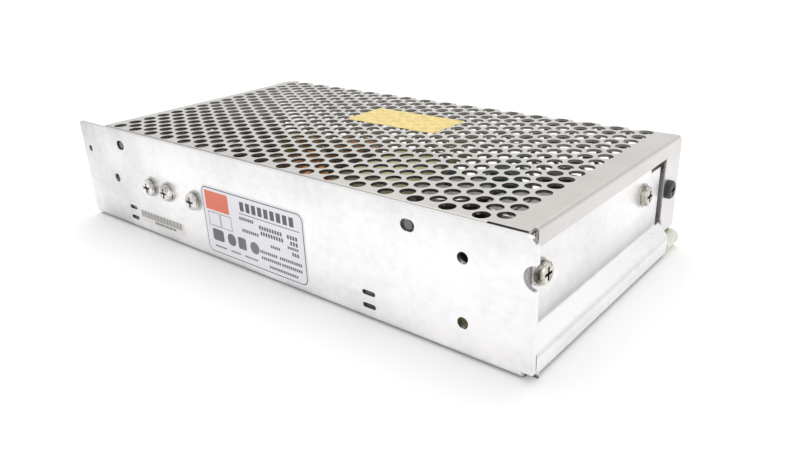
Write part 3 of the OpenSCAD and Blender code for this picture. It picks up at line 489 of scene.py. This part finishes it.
def wound(name, low, high, centre=None):
    """Enamelled copper wire, its turns laid round a ring's centre or along X, painted shade between
    them.
    """
    g = Graph(name, Metallic=0.85)
    x, _, z = g.axes()
    if centre:
        angle = g.maths("ARCTAN2", g.maths("SUBTRACT", z, centre.z),
                        g.maths("SUBTRACT", x, centre.x))
        turns = g.maths("SINE", g.times(angle, RING_TURNS))
    else:
        turns = g.wave(x, WIRE_PITCH)
    height = g.maths("POWER", g.rise(turns, -1.0, 1.0), 0.5)
    # Painted shade: the low colour between turns, the high colour on their tops
    g.colour(g.blend(height, low, high))
    g.rough(g.ramp(g.noise(300.0, 3.0), 0.3, 0.7, 0.22, 0.4))
    g.bump(height, 0.25 * MM, 0.9)
    return g.material


def taped():
    """Yellow transformer tape in overlapping layers."""
    g = Graph("transformer tape", Roughness=0.3, Coat_Weight=0.2)
    layers = g.share(g.axes()[1], 0.0, TAPE_WIDTH)
    edge = g.ramp(layers, 0.0, 0.05, 0.6, 0.0)
    cloud = g.noise(90.0, 4.0)
    base = g.cloudy(cloud, (0.86, 0.78, 0.42), (0.96, 0.90, 0.60))
    g.colour(g.tint(base, (0.55, 0.44, 0.16), edge))
    g.bump(g.total(layers, g.times(cloud, 0.5)), 0.08 * MM, 0.5)
    return g.material


def banded(name, colour, low, pitch, bands):
    """Resistors: a lacquered body with rings of colour."""
    g = Graph(name, Roughness=0.4)
    along = g.share(g.axes()[0], low.x, pitch)
    cloud = g.noise(200.0, 3.0)
    tone = g.cloudy(cloud, scaled(colour, 0.85), scaled(colour, 1.1))
    for start, ring_colour in bands:
        tone = g.tint(tone, ring_colour, g.inside(along, start, start + 0.05, 0.005))
    g.colour(tone)
    g.bump(cloud, 0.05 * MM, 0.3)
    return g.material


def fuse_glass(low, high):
    """Glass tube between two plated caps."""
    g = Graph("fuse glass", Roughness=0.08, IOR=1.45)
    cap = 5.0 * MM
    ends = g.maths("SUBTRACT", 1.0, g.inside(g.axes()[0], low.x + cap, high.x - cap))
    glass = g.cloudy(g.noise(300.0, 2.0), (0.72, 0.80, 0.78), (0.85, 0.92, 0.90))
    g.colour(g.tint(glass, (0.72, 0.70, 0.64), ends))
    g.metal(ends)
    g.link(g.choose(ends, 0.75, 0.0), g.shader.inputs["Transmission Weight"])
    return g.material


# ---- Materials of the CAD nodes ----

def dress_case():
    """Sheets of the case, its screws and what holds the board."""
    dress(aluminium(), "chassis")
    dress(galvanised(), "mesh_cover")
    # Dark and pale ends of each mottle stand in for painted reflections
    dress(plated("zinc screw", (0.22, 0.20, 0.16), (0.78, 0.76, 0.69), 0.2),
          "end_screws", "board_screws", "terminal_screws")
    dress(plated("bright screw", (0.42, 0.41, 0.37), (0.94, 0.93, 0.90), 0.18), "side_screws")
    dress(plated("zinc washer", (0.50, 0.49, 0.46), (0.86, 0.86, 0.83), 0.25),
          "end_washers", "side_washers", "screw_nuts", "standoffs")
    dress(moulded("black screw", (0.03, 0.03, 0.032), 0.38, 0.3, 1200.0), "leg_screw")
    dress(moulded("nylon", (0.80, 0.80, 0.68), 0.35, 0.06, 500.0, Transmission_Weight=0.2),
          "nylon_clip")
    dress(moulded("insulation film", (0.70, 0.69, 0.62), 0.35, 0.08),
          "insulation_sheet", "insulator_pads")
    dress(laminate(), "circuit_board")


def dress_terminals():
    """Terminals, trimmer and lamp, and the fuse's clips, which are of the terminals' metal."""
    dress(plated("tinned brass", (0.62, 0.60, 0.52), (0.78, 0.76, 0.68), 0.3),
          "terminal_plates", "terminal_clamps", "fuse_clips")
    dress(moulded("terminal plastic", (0.022, 0.022, 0.024), 0.45, 0.25), "terminal_block")
    dress(moulded("trimmer plastic", (0.05, 0.13, 0.42), 0.35, 0.15), "trimmer_body")
    dress(moulded("rotor plastic", (0.82, 0.82, 0.79), 0.4, 0.06), "trimmer_rotor")
    dress(moulded("green lens", (0.10, 0.62, 0.18), 0.15, 0.15, Transmission_Weight=0.3), "led")


def dress_wound_parts():
    """Transformer, output inductor and line choke."""
    dress(moulded("ferrite", (0.05, 0.048, 0.047), 0.6, 0.3, 1400.0),
          "transformer_core", "line_choke_core")
    dress(taped(), "transformer_winding")
    low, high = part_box("inductor_winding")
    centre = Vector(((low.x + high.x) / 2, 0.0, high.z - (high.x - low.x) / 2))
    # First colour of each wire is painted shade between its turns
    dress(wound("ring wire", (0.20, 0.07, 0.02), (0.78, 0.34, 0.13), centre), "inductor_winding")
    dress(wound("choke wire", (0.20, 0.07, 0.02), (0.74, 0.33, 0.13)), "line_choke_coils")
    dress(moulded("core paint", (0.62, 0.52, 0.09), 0.45, 0.15), "inductor_core")


def dress_small_parts():
    """Black moulded parts, capacitors, resistors and fuse."""
    dress(moulded("black resin", (0.028, 0.028, 0.03), 0.55, 0.25),
          "led_holder", "side_transistors", "end_transistors", "transformer_pin_blocks",
          "inductor_cradle", "rectifier", "control_chips")
    for name, sleeve, colour, pitch in (
            ("main_capacitors", "main sleeve", (0.05, 0.04, 0.022), 23.5 * MM),
            ("output_capacitors", "output sleeve", (0.02, 0.028, 0.06), 13.5 * MM),
            ("small_capacitors", "small sleeve", (0.02, 0.02, 0.025), 8.0 * MM)):
        dress(sleeved(sleeve, colour, *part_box(name), pitch), name)
    dress(moulded("film capacitor", (0.66, 0.42, 0.05), 0.3, 0.08), "film_capacitors")
    dress(moulded("disc resin", (0.05, 0.18, 0.50), 0.3, 0.12), "disc_capacitors")
    dress(moulded("inrush resin", (0.03, 0.09, 0.05), 0.5, 0.2), "inrush_disc")
    bands = ((0.12, (0.28, 0.08, 0.02)), (0.25, (0.02, 0.02, 0.02)), (0.38, (0.55, 0.08, 0.03)))
    dress(banded("resistor lacquer", (0.52, 0.42, 0.28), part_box("resistors")[0], 12.0 * MM, bands),
          "resistors")
    dress(fuse_glass(*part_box("fuse")), "fuse")


# ---- Labels ----

class Print:
    """Flat pieces laid on a face, each a rounded sheet given in the face's own two directions."""

    def __init__(self, origin, right, up):
        self.origin = Vector(origin)
        self.right = Vector(right)
        self.up = Vector(up)
        self.out = self.right.cross(self.up)
        self.points = []
        self.faces = []

    def sheet(self, left, low, width, height, foot, rise, radius=0.0):
        """One sheet from foot to rise. Its outline is a rectangle with rounded corners."""
        first, last = left + radius, left + width - radius
        bottom, top = low + radius, low + height - radius
        outline = []
        for across, along, start in ((last, bottom, -90), (last, top, 0),
                                     (first, top, 90), (first, bottom, 180)):
            for step in range(CORNER_STEPS + 1 if radius else 1):
                angle = math.radians(start + 90 * step / CORNER_STEPS)
                outline.append((across + radius * math.cos(angle),
                                along + radius * math.sin(angle)))
        self.solid(outline, foot, rise)

    def solid(self, outline, foot, rise):
        """Closed solid over one outline."""
        first = len(self.points)
        count = len(outline)
        for level in (foot, rise):
            for across, along in outline:
                self.points.append(self.origin + MM * (self.right * across + self.up * along
                                                       + self.out * level))
        self.faces.append([first + count + k for k in range(count)])
        self.faces.append([first + k for k in reversed(range(count))])
        for k in range(count):
            following = (k + 1) % count
            self.faces.append([first + k, first + following, first + count + following,
                               first + count + k])

    def piece(self, name, material, body="case"):
        mesh = bpy.data.meshes.new(name)
        mesh.from_pydata(self.points, [], self.faces)
        mesh.materials.append(material)
        made = bpy.data.objects.new(name, mesh)
        bpy.context.scene.collection.objects.link(made)
        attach(made, body)


def paper(name, colour, spread=0.03):
    """Printed film: an even tone with the faintest mottle."""
    return moulded(name, colour, 0.4, spread, 400.0, Coat_Weight=0.15)


def on_side_wall():
    """Empty print on the side wall's outer face, measured from its low open end."""
    return Print(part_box("chassis")[0], (1, 0, 0), (0, 0, 1))


def letters(target, left, low, length, height, foot, rise):
    """Row of small blocks in the place of a word."""
    step = LETTER_STEP * height
    for k in range(max(1, round(length / step))):
        target.sheet(left + k * step, low, LETTER_WIDTH * height, height, foot, rise)


def ring(target, left, low, width, height, line, foot, rise):
    """Outline drawn with four straight lines."""
    target.sheet(left, low, width, line, foot, rise)
    target.sheet(left, low + height - line, width, line, foot, rise)
    target.sheet(left, low + line, line, height - 2 * line, foot, rise)
    target.sheet(left + width - line, low + line, line, height - 2 * line, foot, rise)


def inward(left, low, width, height, margin):
    """Rectangle inside another by a margin."""
    return left + margin, low + margin, width - 2 * margin, height - 2 * margin


def rating_plate():
    """Plate with a thin black border, and rows of blocks in the place of its words and signs."""
    film = 0.08
    inset, line, radius = 0.6, 0.3, 2.6
    foot = film + 2 * INK
    rise = foot + INK
    colour = (0.79, 0.785, 0.82)
    plate, border, field, words, signs, patch = [on_side_wall() for _ in range(6)]
    plate.sheet(*PLATE, 0.0, film, radius)
    plate.piece("rating_plate", paper("plate film", colour))
    border.sheet(*inward(*PLATE, inset), film, film + INK, radius - line)
    border.piece("rating_border", paper("border ink", (0.05, 0.05, 0.06), 0.2))
    field.sheet(*inward(*PLATE, inset + line), film + INK, foot, radius - 2 * line)
    field.piece("rating_field", paper("field film", colour))
    left, low, _, _ = inward(*PLATE, inset)
    for across, along, length, height in (TITLE, *WORDS):
        letters(words, left + across, low + along, length, height, foot, rise)
    across, along, length, height = RULE
    words.sheet(left + across, low + along, length, height, foot, rise)
    words.piece("rating_words", paper("word ink", (0.09, 0.09, 0.10), 0.2))
    for across, along, width, height in FRAMES:
        ring(signs, left + across, low + along, width, height, 0.2, foot, rise)
    for across, along, width, height, corner in SIGNS:
        signs.sheet(left + across, low + along, width, height, foot, rise, corner)
    signs.piece("rating_signs", paper("sign ink", (0.16, 0.16, 0.17), 0.2))
    across, along, width, height = PATCH
    patch.sheet(left + across, low + along, width, height, foot, rise, 0.3)
    patch.piece("rating_patch", paper("orange ink", (0.74, 0.17, 0.09), 0.06))


def bar_sticker():
    """Small pale sticker with generic upright bars."""
    film = 0.06
    rise = film + INK
    left, low, _, _ = STICKER
    sticker, bars = on_side_wall(), on_side_wall()
    sticker.sheet(*STICKER, 0.0, film, 0.3)
    sticker.piece("bar_sticker", paper("sticker film", (0.74, 0.72, 0.69)))
    for k in range(BAR_COUNT):
        width = BAR_WIDTHS[k % len(BAR_WIDTHS)]
        across = left + BARS_AT[0] + BAR_STEP * k
        bars.sheet(across, low + BARS_AT[1], width, BAR_HEIGHT, film, rise)
    across, along, length, height = BAR_WORD
    letters(bars, left + across, low + along, length, height, film, rise)
    bars.piece("sticker_bars", paper("sticker ink", (0.10, 0.10, 0.095), 0.2))


def top_label():
    """Bare yellow label stuck over the cover's holes, which show as faint hollows with painted
    shade.
    """
    low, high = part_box("chassis")
    label = Print((low.x, low.y, high.z), (1, 0, 0), (0, 1, 0))
    foot, rise, radius = 0.01, 0.1, 0.5
    label.sheet(*TOP_LABEL, foot, rise, radius)
    g = Graph("yellow film", Roughness=0.45, Coat_Weight=0.1)
    x, y, _ = g.case_axes()
    across = g.times(g.maths("SUBTRACT", x, HOLE_START[0]), math.pi / HOLE_STEP[0])
    along = g.times(g.maths("SUBTRACT", y, HOLE_START[1]), 2 * math.pi / HOLE_STEP[1])
    pattern = g.times(g.maths("COSINE", across), g.maths("COSINE", along))
    hollow = g.rise(pattern, 0.1, 0.6)
    cloud = g.noise(900.0, 4.0)
    base = g.cloudy(cloud, (0.68, 0.50, 0.12), (0.88, 0.69, 0.24))
    # Painted shade in the hollows over the holes
    g.colour(g.shaded(base, g.dim(hollow, 0.88)))
    g.bump(g.total(cloud, g.times(hollow, -1.0)), 0.12 * MM, 0.6)
    label.piece("top_label", g.material)


# ---- Stage, light and camera ----

def stage():
    """Pale floor just under the case."""
    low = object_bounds()[0]
    bpy.ops.mesh.primitive_plane_add(size=FLOOR_SIZE, location=(0, 0, low.z - FLOOR_GAP))
    floor = bpy.context.active_object
    floor.name = "floor"
    g = Graph("floor", Roughness=0.9)
    g.colour(g.blend(g.noise(2.0, 2.0), (0.965, 0.965, 0.97), (0.985, 0.985, 0.985)))
    floor.data.materials.append(g.material)
    floor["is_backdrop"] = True


def softbox(name, place, target, side, power):
    """Square area light turned towards its target."""
    data = bpy.data.lights.new(name, "AREA")
    data.shape = "RECTANGLE"
    data.size = data.size_y = side
    data.energy = power
    lamp = bpy.data.objects.new(name, data)
    bpy.context.scene.collection.objects.link(lamp)
    lamp.location = place
    lamp.rotation_euler = (Vector(target) - Vector(place)).to_track_quat("-Z", "Y").to_euler()


def lights():
    """White surroundings, one lamp from above and one towards the end wall."""
    world = bpy.data.worlds.new("studio")
    bpy.context.scene.world = world
    world.use_nodes = True
    back = world.node_tree.nodes["Background"]
    back.inputs["Color"].default_value = (1.0, 1.0, 1.0, 1.0)
    back.inputs["Strength"].default_value = 0.9
    softbox("top light", place=(-0.3, 0.5, 1.3), target=(0, 0, 0), side=1.4, power=7.0)
    softbox("end light", place=(1.2, -0.2, 0.5), target=(0.1, 0, 0), side=0.8, power=2.0)


def camera():
    """Camera at the photograph's angle."""
    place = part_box("chassis")[0] + MM * Vector(CAMERA_AT)
    data = bpy.data.cameras.new("camera")
    data.sensor_width = SENSOR
    data.lens = LENS
    data.clip_start = CLIP_START
    cam = bpy.data.objects.new("camera", data)
    bpy.context.scene.collection.objects.link(cam)
    heading = Matrix.Rotation(math.radians(HEADING), 4, "Z")
    pitch = Matrix.Rotation(math.radians(90 + PITCH), 4, "X")
    roll = Matrix.Rotation(math.radians(ROLL), 4, "Z")
    cam.matrix_world = Matrix.Translation(place) @ (heading @ pitch @ roll)
    bpy.context.scene.camera = cam
    bpy.context.scene.view_settings.view_transform = "Standard"


assert len(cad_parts) == CAD_NODES
dress_case()
dress_terminals()
dress_wound_parts()
dress_small_parts()
rating_plate()
bar_sticker()
top_label()
stage()
lights()
camera()
